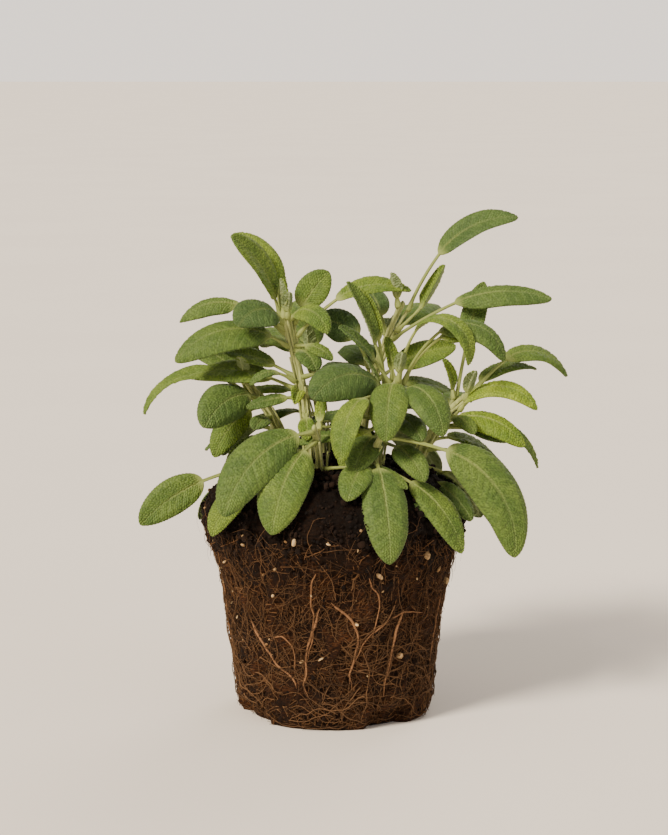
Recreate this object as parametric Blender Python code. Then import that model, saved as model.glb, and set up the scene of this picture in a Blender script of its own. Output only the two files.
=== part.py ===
"""A common sage plant knocked out of its pot: a bare root ball, main roots, stems and leaves.

Metres, +Z up. The origin is the centre of the root ball's flat base. The front is towards -Y.
Compass angles are in degrees about +Z: 0 is right (+X), 90 is back, 180 is left and 270 is front.
"""

import math

import bmesh
import bpy
from mathutils import Matrix, Vector, noise
from mathutils.bvhtree import BVHTree

MM = 0.001
GAP = 0.3 * MM

# The root ball is a tapered drum, moulded by a round nursery pot, with a crumbly lip and a domed top.
# (radius, height) in millimetres, from the edge of the base to near the middle of the dome.
BALL_PROFILE = (
    (43.5, 0), (45, 5), (46, 12), (48, 35), (53, 68), (56, 77),
    (60, 88), (60, 95), (56, 104), (46, 112), (28, 116), (8, 117),
)
BALL_SEGMENTS = 40
ROUGHNESS = 0.9 * MM
LIP_ROUGHNESS = 2.2 * MM
LIP_START = 77 * MM
LIP_END = 108 * MM
# Recesses left by the pot's drainage slots: (middle angle, half width) in degrees.
NOTCHES = ((208, 17), (304, 13), (25, 15), (115, 15))
NOTCH_HEIGHT = 9 * MM
NOTCH_DEPTH = 5 * MM

# Stems rise straight out of the compost and bend outwards: (foot x, foot y), (tip x, tip y, tip z).
STEMS = {
    "tall_left": ((-12, -4), (-22, 0, 186)),
    "outer_left": ((-22, 5), (-42, 8, 156)),
    "front_left": ((-6, -22), (-9, -32, 138)),
    "centre_right": ((20, -8), (29, -8, 157)),
    "outer_right": ((38, -4), (60, -2, 148)),
    "front_right": ((16, -24), (22, -34, 136)),
    "back_left": ((-5, 20), (-10, 32, 162)),
    "back_right": ((12, 12), (32, 10, 190)),
}
STEM_BOTTOM = 96 * MM
STEM_BEND_START = 112 * MM
STEM_RADIUS_FOOT = 2.4 * MM
STEM_RADIUS_TIP = 1.4 * MM
STEM_SIDES = 8
STEM_RINGS = 7

# Main roots lie on the ball: (compass angle, height in millimetres) from top to bottom.
ROOTS = {
    "left": ((222, 50), (228, 41), (236, 33), (243, 27), (249, 20)),
    "centre_left": ((264, 58), (259, 46), (255, 36), (254, 26), (256, 16)),
    "centre": ((268, 62), (276, 57), (281, 48), (281, 36), (279, 20)),
    "right": ((306, 56), (303, 48), (302, 38), (301, 26), (299, 16)),
}
ROOT_RADIUS = 0.9 * MM
ROOT_CLEARANCE = 1.0 * MM
ROOT_SIDES = 6

# One row for each leaf. Angles are in degrees and lengths in millimetres.
#   height: where the stalk leaves its stem      angle: compass direction that the leaf points in
#   rise, droop: the slope at the foot, and the bend down to the tip, of an even arch that would end at
#     the same slope; the leaf itself bends less in its stalk and more in its blade
#   stalk, blade, width: sizes                   roll: turn about its own length
#   fold: margins up (+) or down (-), as a share of the half width
LEAVES = (
    # name, stem, height, angle, rise, droop, stalk, blade, width, roll, fold
    ("top_left", "tall_left", 185, 208, 80, 46, 9, 38, 20, -48, .1),
    ("top_left_rear", "tall_left", 185, 150, 104, 86, 12, 37, 15, -30, .1),
    ("left_oval", "tall_left", 184, 222, 54, 110, 4, 27, 21, -30, -.2),
    ("left_arch", "tall_left", 178, 175, 60, 112, 24, 31, 12, -35, -.2),
    ("left_broad", "tall_left", 172, 194, 40, 94, 9, 50, 21, -32, -.3),
    ("arch_front", "tall_left", 185, 314, 45, 118, 2, 27, 12, 30, -.2),
    ("upright", "tall_left", 183, 15, 68, 28, 7, 21, 15, 65, .1),
    ("arch_rear", "tall_left", 177, 10, 63, 87, 24, 37, 15, 25, 0.1),
    ("left_long", "outer_left", 147, 180, 50, 120, 10, 51, 15, -15, .2),
    ("left_behind", "outer_left", 150, 150, 55, 60, 8, 30, 15, -20, 0),
    ("mid_left", "outer_left", 147, 232, 22, 75, 5, 36, 20, -48, -.2),
    ("mid_left_hanging", "outer_left", 143, 206, -15, 60, 5, 29, 14, -50, 0),
    ("far_left", "outer_left", 118, 195, -2, 48, 38, 36, 17, -70, 0),
    ("lower_left_rear", "outer_left", 127, 200, -5, 50, 4, 24, 14, -55, 0),
    ("lower_left", "front_left", 136, 216, 2, 75, 7, 55, 22, -45, -.2),
    ("front_left", "front_left", 132, 240, -8, 74, 9, 46, 23, -20, -.2),
    ("lower_left_small", "front_left", 119, 203, 4, 92, 34, 28, 13, -40, 0),
    ("centre_broad", "centre_right", 151, 220, 50, 98, 7, 43, 22, -40, -0.3),
    ("centre_hanging", "centre_right", 150, 240, 42, 140, 23, 38, 15, 0, 0),
    ("centre_shaded", "centre_right", 155, 262, 24, 108, 8, 38, 18, 0, 0),
    ("right_arch", "centre_right", 156, 345, 104, 188, 29, 40, 16, 22, -.3),
    ("top_right", "back_right", 188, 0, 83, 87, 29, 42, 15, 38, .1),
    ("top_right_folded", "back_right", 178, 0, 34, -40, 14, 24, 9, 20, .7),
    ("right_top", "back_right", 174, 356, 48, 68, 33, 46, 15, 35, -.3),
    ("dark_folded", "centre_right", 155, 184, 78, 20, 19, 32, 9, -35, .5),
    ("pale_narrow", "centre_right", 151, 160, 95, 40, 24, 26, 7, -50, .3),
    ("right_inner", "centre_right", 154, 328, 136, 245, 30, 44, 14, 10, 0),
    ("low_right", "centre_right", 128, 300, 10, 60, 12, 28, 13, 20, 0),
    ("right_grey", "centre_right", 151, 302, 38, 120, 11, 38, 18, 10, -.2),
    ("right_upper", "outer_right", 147, 22, 80, 145, 25, 38, 15, 25, -.1),
    ("right_yellow", "outer_right", 143, 344, 62, 122, 3, 41, 15, 20, -.2),
    ("far_right", "outer_right", 139, 4, 28, 104, 17, 39, 12, 20, .1),
    ("right_bright", "outer_right", 137, 343, 26, 84, 6, 36, 15, 30, -.2),
    ("right_upper_dark", "outer_right", 143, 26, 66, 88, 16, 33, 14, 10, 0),
    ("right_top_rear", "outer_right", 147, 50, 82, 20, 28, 34, 12, 40, .1),
    ("right_behind", "outer_right", 124, 338, 20, 95, 14, 30, 14, 45, 0),
    ("front_centre", "front_right", 125, 281, -20, 72, 10, 48, 21, 0, -.2),
    ("front_right", "front_right", 120, 336, -14, 68, 18, 41, 17, 25, 0),
    ("right_big", "front_right", 134, 351, 11, 108, 28, 62, 23, 60, -.2),
    ("grey_rear", "back_right", 161, 178, 90, 100, 14, 21, 17, -60, 0),
    ("green_rear", "back_right", 155, 12, 40, 40, 10, 30, 18, 30, 0),
    ("back_right_upper", "back_right", 164, 60, 60, 85, 20, 44, 20, 0, -.2),
    ("back_right_low", "back_right", 130, 52, 10, 75, 24, 46, 22, 0, -.2),
    ("back_centre_upper", "back_right", 153, 98, 50, 90, 10, 48, 23, 0, -0.2),
    ("back_centre_low", "back_left", 128, 92, 5, 80, 10, 50, 24, 0, -0.2),
    ("back_left_upper", "back_left", 156, 125, 55, 85, 10, 48, 23, 0, -0.2),
    ("back_left_low", "back_left", 136, 155, 15, 80, 10, 50, 24, 0, -0.2),
)
STALK_RADIUS = 0.8 * MM
BLADE_THICKNESS = 0.8 * MM
TIP_HALF_WIDTH = 0.5 * MM
# The outline's powers towards the base and the tip, and its largest value before it is scaled to 1.
BASE_ROUNDNESS = 0.48
TIP_POINT = 0.6
WIDEST = 0.4762
# How sharply a stalk bends as a share of how sharply its blade does.
STALK_BEND = 0.35
# Where the cross-sections of a blade lie, as shares of its length.
BLADE_STATIONS = (0.0, 0.06, 0.2, 0.4, 0.62, 0.82, 0.95, 1.0)
# A leaf grows clear of what is already there: it turns aside or grows lower until it touches nothing.
# A turn is so many degrees, and carries the middle of a leaf about as many millimetres as its reach says.
TURN_STEP = 3
TURN_REACH = 2.2
MOST_TURNS = 7
# The most whole millimetres that a leaf grows lower.
MOST_SLIDES = 12

COLOURS = {
    "compost": (0.03, 0.016, 0.009),
    "root": (0.36, 0.17, 0.07),
    "stem": (0.24, 0.2, 0.09),
    "leaf": (0.13, 0.24, 0.06),
}
ROUGH = 0.85


def material(name):
    """The named Principled BSDF, made once."""
    made = bpy.data.materials.get(name)
    if made is None:
        made = bpy.data.materials.new(name)
        made.use_nodes = True
        shader = made.node_tree.nodes["Principled BSDF"]
        shader.inputs["Base Color"].default_value = (*COLOURS[name], 1)
        shader.inputs["Roughness"].default_value = ROUGH
        shader.inputs["Metallic"].default_value = 0
    return made


def add_object(name, mesh, material_name, parent):
    mesh.materials.append(material(material_name))
    mesh.shade_smooth()
    mesh.set_sharp_from_angle(angle=math.radians(40))
    obj = bpy.data.objects.new(name, mesh)
    bpy.context.scene.collection.objects.link(obj)
    obj.parent = parent
    return obj


def lofted(name, sections):
    """A closed mesh through rings of equally many points, with a cap on each end."""
    shape = bmesh.new()
    rings = [[shape.verts.new(point) for point in section] for section in sections]
    for low, high in zip(rings, rings[1:]):
        for i in range(len(low)):
            j = (i + 1) % len(low)
            shape.faces.new((low[i], low[j], high[j], high[i]))
    shape.faces.new(rings[0][::-1])
    shape.faces.new(rings[-1])
    bmesh.ops.recalc_face_normals(shape, faces=shape.faces)
    bmesh.ops.triangulate(shape, faces=shape.faces)
    mesh = bpy.data.meshes.new(name)
    shape.to_mesh(mesh)
    shape.free()
    return mesh


def compass(angle):
    """The level unit vector that points at a compass angle in degrees."""
    return Vector((math.cos(math.radians(angle)), math.sin(math.radians(angle)), 0))


def ring(centre, radius, sides, along=Vector((0, 0, 1))):
    """Points round a centre, in the plane square to a direction."""
    turn = along.to_track_quat("Z", "Y")
    spots = [compass(360 * i / sides) * radius for i in range(sides)]
    return [centre + turn @ spot for spot in spots]


def tube(name, path, radii, sides):
    """A closed tube along a path, with a radius at each point."""
    sections = []
    for i, (point, radius) in enumerate(zip(path, radii)):
        along = path[min(i + 1, len(path) - 1)] - path[max(i - 1, 0)]
        sections.append(ring(point, radius, sides, along))
    return lofted(name, sections)


def ball_radius(angle, height):
    """Radius of the root ball's rough side at a compass angle and a height."""
    for (low_r, low_z), (high_r, high_z) in zip(BALL_PROFILE, BALL_PROFILE[1:]):
        if height <= high_z * MM:
            break
    share = (height / MM - low_z) / (high_z - low_z)
    radius = (low_r + (high_r - low_r) * share) * MM
    spot = compass(angle) * 2.2 + Vector((0, 0, height * 45))
    rough = LIP_ROUGHNESS if LIP_START <= height <= LIP_END else ROUGHNESS
    radius += rough * noise.noise(spot)
    if height < NOTCH_HEIGHT:
        for middle, half in NOTCHES:
            off = abs((angle - middle + 180) % 360 - 180)
            radius -= NOTCH_DEPTH * max(0, min(1, (half - off) / 5 + 0.5))
    return radius


def root_ball(parent):
    """The drum of compost, with a socket for each stem."""
    sections = []
    for _, height in BALL_PROFILE:
        spots = []
        for i in range(BALL_SEGMENTS):
            angle = 360 * i / BALL_SEGMENTS
            spots.append(compass(angle) * ball_radius(angle, height * MM) + Vector((0, 0, height * MM)))
        sections.append(spots)
    ball = add_object("root_ball", lofted("root_ball", sections), "compost", parent)
    for stem, (foot, _) in STEMS.items():
        ball.modifiers.new("socket_" + stem, "BOOLEAN").object = socket(stem, foot, parent)
    return ball


def socket(stem, foot, parent):
    """A hidden cutter for the hole that a stem stands in."""
    bottom = Vector((foot[0] * MM, foot[1] * MM, STEM_BOTTOM - GAP))
    top = bottom + Vector((0, 0, 40 * MM))
    radius = STEM_RADIUS_FOOT + GAP
    mesh = tube("cutter_" + stem, (bottom, top), (radius, radius), 2 * STEM_SIDES)
    cutter = add_object("cutter_" + stem, mesh, "compost", parent)
    cutter.hide_render = True
    cutter.display_type = "WIRE"
    return cutter


def stem_point(stem, height):
    """Where a stem's axis is at a height, which is straight up at first and then bends outwards."""
    (foot_x, foot_y), (tip_x, tip_y, tip_z) = STEMS[stem]
    share = max(0, (height - STEM_BEND_START) / (tip_z * MM - STEM_BEND_START)) ** 2
    x = (foot_x + (tip_x - foot_x) * share) * MM
    y = (foot_y + (tip_y - foot_y) * share) * MM
    return Vector((x, y, height))


def stem_radius(stem, height):
    share = (height - STEM_BOTTOM) / (STEMS[stem][1][2] * MM - STEM_BOTTOM)
    return STEM_RADIUS_FOOT + (STEM_RADIUS_TIP - STEM_RADIUS_FOOT) * max(0, share)


def stem_slant(stem, height, angle):
    """How much further a slanting stem reaches at one compass angle than an upright one would."""
    step = stem_point(stem, height) - stem_point(stem, height - MM)
    return math.sqrt(1 + (step.dot(compass(angle)) / MM) ** 2)


def stem_mesh(stem):
    top = STEMS[stem][1][2] * MM
    heights = [STEM_BOTTOM]
    for i in range(STEM_RINGS):
        heights.append(STEM_BEND_START + (top - STEM_BEND_START) * i / (STEM_RINGS - 1))
    path = [stem_point(stem, height) for height in heights]
    radii = [stem_radius(stem, height) for height in heights]
    return tube("stem_" + stem, path, radii, STEM_SIDES)


def root_mesh(root):
    path = []
    for angle, height in ROOTS[root]:
        out = ball_radius(angle, height * MM) + ROOT_RADIUS + ROOT_CLEARANCE
        path.append(compass(angle) * out + Vector((0, 0, height * MM)))
    radii = [ROOT_RADIUS * (1 - 0.1 * i) for i in range(len(path))]
    return tube("root_" + root, path, radii, ROOT_SIDES)


def outline(share):
    """Half width of a blade as a share of the widest: a round base, and a tip that comes to a blunt point."""
    return share**BASE_ROUNDNESS * (1 - share) ** TIP_POINT / WIDEST


def arch(start, bend, along):
    """The point at a distance along an even arch in the XZ plane, and the slope there."""
    slope = start - bend * along
    point = Vector((math.sin(start) - math.sin(slope), 0, math.cos(slope) - math.cos(start))) / bend
    return point, slope


def bends(leaf):
    """The slope at a leaf's foot, and how sharply its stalk and its blade bend."""
    rise, droop, stalk, blade = math.radians(leaf[4]), math.radians(leaf[5]), leaf[6] * MM, leaf[7] * MM
    bend = droop * (stalk + blade) / (STALK_BEND * stalk**2 + 2 * stalk * blade + blade**2)
    return rise - droop + bend * (STALK_BEND * stalk + blade), STALK_BEND * bend, bend


def spine(leaf, along):
    """The point, tangent and normal of a leaf's spine, in its own XZ plane."""
    stalk = leaf[6] * MM
    start, stalk_bend, blade_bend = bends(leaf)
    point, slope = arch(start, stalk_bend, min(along, stalk))
    if along > stalk:
        further, slope = arch(slope, blade_bend, along - stalk)
        point = point + further
    tangent = Vector((math.cos(slope), 0, math.sin(slope)))
    normal = Vector((-math.sin(slope), 0, math.cos(slope)))
    return point, tangent, normal


def leaf_sections(leaf, swell):
    """Eight-sided cross-sections along a leaf that points along +X, grown outwards by swell."""
    stalk, blade, width, roll, fold = leaf[6:]
    stalk, blade, width = stalk * MM, blade * MM, width * MM
    stations = [(0, 0), (0.55 * stalk, 0)]
    stations += [(stalk + blade * share, share) for share in BLADE_STATIONS]
    sections = []
    for along, share in stations:
        point, tangent, normal = spine(leaf, along)
        turned = Matrix.Rotation(math.radians(roll) * min(1, along / stalk), 3, tangent)
        normal = turned @ normal
        side = tangent.cross(normal)
        least = STALK_RADIUS if along <= stalk else TIP_HALF_WIDTH
        half = max(least, 0.5 * width * outline(share)) + swell
        thick = (STALK_RADIUS if along <= stalk else 0.5 * BLADE_THICKNESS) + swell
        section = []
        for across, up in ((-1, 0), (-0.5, 1), (0, 1), (0.5, 1), (1, 0), (0.5, -1), (0, -1), (-0.5, -1)):
            lift = fold * half * across * across if along > stalk else 0
            section.append(point + side * (half * across) + normal * (lift + thick * up))
        sections.append(section)
    return sections


def leaf_place(leaf):
    """The matrix that carries a leaf from its own frame to the side of its stem."""
    stem, height, angle = leaf[1:4]
    height = height * MM
    lean = (STALK_RADIUS + 2 * GAP) * abs(math.sin(bends(leaf)[0]))
    out = stem_slant(stem, height, angle) * (stem_radius(stem, height) + 2 * GAP + lean)
    start = stem_point(stem, height) + compass(angle) * out
    return Matrix.Translation(start) @ Matrix.Rotation(math.radians(angle), 4, "Z")


def tree_of(mesh, place):
    points = [place @ vertex.co for vertex in mesh.vertices]
    return BVHTree.FromPolygons(points, [tuple(face.vertices) for face in mesh.polygons])


def moves():
    """Small changes of (angle, rise, height), in the order of how far they carry the middle of a leaf."""
    found = []
    for down in range(MOST_SLIDES + 1):
        for up in range(-MOST_TURNS, MOST_TURNS + 1):
            for side in range(-MOST_TURNS, MOST_TURNS + 1):
                far = (side**2 + up**2) * TURN_REACH**2 + down**2
                found.append((far, side * TURN_STEP, up * TURN_STEP, -down))
    return sorted(found)


def settled(leaf, there):
    """The leaf, moved aside by as little as clears every piece that is already there."""
    for _, side, up, slide in moves():
        tried = (*leaf[:2], leaf[2] + slide, leaf[3] + side, leaf[4] + up, *leaf[5:])
        swollen = lofted("swollen", leaf_sections(tried, GAP))
        tree = tree_of(swollen, leaf_place(tried))
        bpy.data.meshes.remove(swollen)
        if not any(tree.overlap(other) for other in there):
            return tried
    raise ValueError(leaf[0] + " has no room")


def build():
    for obj in list(bpy.data.objects):
        bpy.data.objects.remove(obj)
    plant = bpy.data.objects.new("sage_plant", None)
    bpy.context.scene.collection.objects.link(plant)
    ball = root_ball(plant)
    here = Matrix.Identity(4)
    there = [tree_of(ball.data, here)]
    for root in ROOTS:
        mesh = root_mesh(root)
        add_object("root_" + root, mesh, "root", plant)
        there.append(tree_of(mesh, here))
    for stem in STEMS:
        mesh = stem_mesh(stem)
        add_object("stem_" + stem, mesh, "stem", plant)
        there.append(tree_of(mesh, here))
    for leaf in LEAVES:
        leaf = settled(leaf, there)
        obj = add_object("leaf_" + leaf[0], lofted("leaf_" + leaf[0], leaf_sections(leaf, 0)), "leaf", plant)
        obj.matrix_world = leaf_place(leaf)
        there.append(tree_of(obj.data, leaf_place(leaf)))


build()
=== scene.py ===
"""The looks of a sage plant with a bare root ball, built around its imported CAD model.

Metres, +Z up, in the CAD frame: the origin is the centre of the root ball's base and the front is
towards -Y. Compass angles are in degrees about +Z: 0 is right (+X), 90 is back, 270 is front.
"""

import math

import bpy
import numpy as np
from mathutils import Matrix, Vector


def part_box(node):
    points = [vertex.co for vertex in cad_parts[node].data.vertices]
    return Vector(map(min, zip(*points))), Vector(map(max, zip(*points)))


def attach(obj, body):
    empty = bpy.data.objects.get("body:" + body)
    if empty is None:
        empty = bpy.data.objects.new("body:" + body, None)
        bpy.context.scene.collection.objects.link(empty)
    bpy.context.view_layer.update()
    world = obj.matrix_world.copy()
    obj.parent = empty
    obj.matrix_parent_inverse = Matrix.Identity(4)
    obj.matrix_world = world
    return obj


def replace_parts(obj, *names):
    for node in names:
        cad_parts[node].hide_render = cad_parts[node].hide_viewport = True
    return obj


MM = 0.001
GAP = 0.3 * MM

# ---------------------------------------------------------------- the plan, as in the CAD model
# (radius, height) of the root ball in millimetres, from the edge of its base to the top of its dome.
BALL_PROFILE = (
    (43.5, 0), (45, 5), (46, 12), (48, 35), (53, 68), (56, 77),
    (60, 88), (60, 95), (56, 104), (46, 112), (28, 116), (8, 117),
)
# Recesses left by the pot's drainage slots: (middle angle, half width) in degrees.
NOTCHES = ((208, 17), (304, 13), (25, 15), (115, 15))
NOTCH_HEIGHT = 9 * MM
NOTCH_DEPTH = 5 * MM

# (foot x, foot y), (tip x, tip y, tip z) in millimetres.
STEMS = {
    "tall_left": ((-12, -4), (-22, 0, 186)),
    "outer_left": ((-22, 5), (-42, 8, 156)),
    "front_left": ((-6, -22), (-9, -32, 138)),
    "centre_right": ((20, -8), (29, -8, 157)),
    "outer_right": ((38, -4), (60, -2, 148)),
    "front_right": ((16, -24), (22, -34, 136)),
    "back_left": ((-5, 20), (-10, 32, 162)),
    "back_right": ((12, 12), (32, 10, 190)),
}
STEM_BOTTOM = 96 * MM
STEM_BEND_START = 112 * MM
STEM_RADIUS_FOOT = 2.4 * MM
STEM_RADIUS_TIP = 1.4 * MM

# Main roots: (compass angle, height in millimetres) from top to bottom.
ROOTS = {
    "left": ((222, 50), (228, 41), (236, 33), (243, 27), (249, 20)),
    "centre_left": ((264, 58), (259, 46), (255, 36), (254, 26), (256, 16)),
    "centre": ((268, 62), (276, 57), (281, 48), (281, 36), (279, 20)),
    "right": ((306, 56), (303, 48), (302, 38), (301, 26), (299, 16)),
}
# Side roots, which the CAD model leaves out, in the same form.
SIDE_ROOTS = (
    ((236, 43), (243, 44), (248, 41), (248, 27)),
    ((299, 52), (291, 47), (281, 35), (279, 20)),
    ((300, 53), (309, 55), (321, 52)),
    ((262, 78), (258, 62), (261, 48), (254, 34)),
    ((287, 74), (292, 60), (290, 44)),
    ((20, 70), (26, 52), (22, 30), (30, 12)),
    ((95, 74), (88, 50), (97, 28), (90, 9)),
    ((150, 62), (158, 44), (152, 20)),
    ((196, 66), (190, 40), (199, 18)),
    ((340, 58), (333, 38), (338, 16)),
)
# Radii of the two kinds.
ROOT_THICKNESS = 0.62 * MM
SIDE_ROOT_THICKNESS = 0.38 * MM

# The leaves that are nodes in the CAD model, with angles in degrees and lengths in millimetres.
#   height, angle: how high on its stem a leaf grows, and the compass angle that it grows towards
#   rise, droop: the slope at the foot, and the bend down to the tip, of an even arch that would end at
#     the same slope; the leaf itself bends less in its stalk and more in its blade
#   roll: how far it is turned about its own length
#   fold: how far its sides rise above its middle, as a share of its half width
LEAVES = (
    # name, stem, height, angle, rise, droop, stalk, blade, width, roll, fold
    ("top_left", "tall_left", 185, 208, 80, 46, 9, 38, 20, -48, .1),
    ("top_left_rear", "tall_left", 185, 150, 104, 86, 12, 37, 15, -30, .1),
    ("left_oval", "tall_left", 184, 222, 54, 110, 4, 27, 21, -30, -.2),
    ("left_arch", "tall_left", 178, 175, 60, 112, 24, 31, 12, -35, -.2),
    ("left_broad", "tall_left", 172, 194, 40, 94, 9, 50, 21, -32, -.3),
    ("arch_front", "tall_left", 185, 314, 45, 118, 2, 27, 12, 30, -.2),
    ("upright", "tall_left", 183, 15, 68, 28, 7, 21, 15, 65, .1),
    ("arch_rear", "tall_left", 177, 10, 63, 87, 24, 37, 15, 25, 0.1),
    ("left_long", "outer_left", 147, 180, 50, 120, 10, 51, 15, -15, .2),
    ("left_behind", "outer_left", 150, 150, 55, 60, 8, 30, 15, -20, 0),
    ("mid_left", "outer_left", 147, 232, 22, 75, 5, 36, 20, -48, -.2),
    ("mid_left_hanging", "outer_left", 143, 206, -15, 60, 5, 29, 14, -50, 0),
    ("far_left", "outer_left", 118, 195, -2, 48, 38, 36, 17, -70, 0),
    ("lower_left_rear", "outer_left", 127, 200, -5, 50, 4, 24, 14, -55, 0),
    ("lower_left", "front_left", 136, 216, 2, 75, 7, 55, 22, -45, -.2),
    ("front_left", "front_left", 132, 240, -8, 74, 9, 46, 23, -20, -.2),
    ("lower_left_small", "front_left", 119, 203, 4, 92, 34, 28, 13, -40, 0),
    ("centre_broad", "centre_right", 151, 220, 50, 98, 7, 43, 22, -40, -0.3),
    ("centre_hanging", "centre_right", 150, 240, 42, 140, 23, 38, 15, 0, 0),
    ("centre_shaded", "centre_right", 155, 262, 24, 108, 8, 38, 18, 0, 0),
    ("right_arch", "centre_right", 156, 345, 104, 188, 29, 40, 16, 22, -.3),
    ("top_right", "back_right", 188, 0, 83, 87, 29, 42, 15, 38, .1),
    ("top_right_folded", "back_right", 178, 0, 34, -40, 14, 24, 9, 20, .7),
    ("right_top", "back_right", 174, 356, 48, 68, 33, 46, 15, 35, -.3),
    ("dark_folded", "centre_right", 155, 184, 78, 20, 19, 32, 9, -35, .5),
    ("pale_narrow", "centre_right", 151, 160, 95, 40, 24, 26, 7, -50, .3),
    ("right_inner", "centre_right", 154, 328, 136, 245, 30, 44, 14, 10, 0),
    ("low_right", "centre_right", 128, 300, 10, 60, 12, 28, 13, 20, 0),
    ("right_grey", "centre_right", 151, 302, 38, 120, 11, 38, 18, 10, -.2),
    ("right_upper", "outer_right", 147, 22, 80, 145, 25, 38, 15, 25, -.1),
    ("right_yellow", "outer_right", 143, 344, 62, 122, 3, 41, 15, 20, -.2),
    ("far_right", "outer_right", 139, 4, 28, 104, 17, 39, 12, 20, .1),
    ("right_bright", "outer_right", 137, 343, 26, 84, 6, 36, 15, 30, -.2),
    ("right_upper_dark", "outer_right", 143, 26, 66, 88, 16, 33, 14, 10, 0),
    ("right_top_rear", "outer_right", 147, 50, 82, 20, 28, 34, 12, 40, .1),
    ("right_behind", "outer_right", 124, 338, 20, 95, 14, 30, 14, 45, 0),
    ("front_centre", "front_right", 125, 281, -20, 72, 10, 48, 21, 0, -.2),
    ("front_right", "front_right", 120, 336, -14, 68, 18, 41, 17, 25, 0),
    ("right_big", "front_right", 134, 351, 11, 108, 28, 62, 23, 60, -.2),
    ("grey_rear", "back_right", 161, 178, 90, 100, 14, 21, 17, -60, 0),
    ("green_rear", "back_right", 155, 12, 40, 40, 10, 30, 18, 30, 0),
    ("back_right_upper", "back_right", 164, 60, 60, 85, 20, 44, 20, 0, -.2),
    ("back_right_low", "back_right", 130, 52, 10, 75, 24, 46, 22, 0, -.2),
    ("back_centre_upper", "back_right", 153, 98, 50, 90, 10, 48, 23, 0, -0.2),
    ("back_centre_low", "back_left", 128, 92, 5, 80, 10, 50, 24, 0, -0.2),
    ("back_left_upper", "back_left", 156, 125, 55, 85, 10, 48, 23, 0, -0.2),
    ("back_left_low", "back_left", 136, 155, 15, 80, 10, 50, 24, 0, -0.2),
)
STALK_RADIUS = 0.8 * MM
BLADE_THICKNESS = 0.8 * MM
TIP_HALF_WIDTH = 0.5 * MM
# The outline's powers towards the base and the tip, and its largest value before it is scaled to 1.
BASE_ROUNDNESS = 0.48
TIP_POINT = 0.6
WIDEST = 0.4762
# How sharply a stalk bends as a share of how sharply its blade does.
STALK_BEND = 0.35
# Where the cross-sections of the plain blade lie, as shares of its length.
BLADE_STATIONS = (0.0, 0.06, 0.2, 0.4, 0.62, 0.82, 0.95, 1.0)
# The CAD model turns a leaf or lets it grow lower until it touches nothing. A turn is so many degrees,
# and carries the middle of a leaf about as many millimetres as its reach says.
TURN_STEP = 3
TURN_REACH = 2.2
MOST_TURNS = 7
# The most whole millimetres that a leaf grows lower.
MOST_SLIDES = 12

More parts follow.
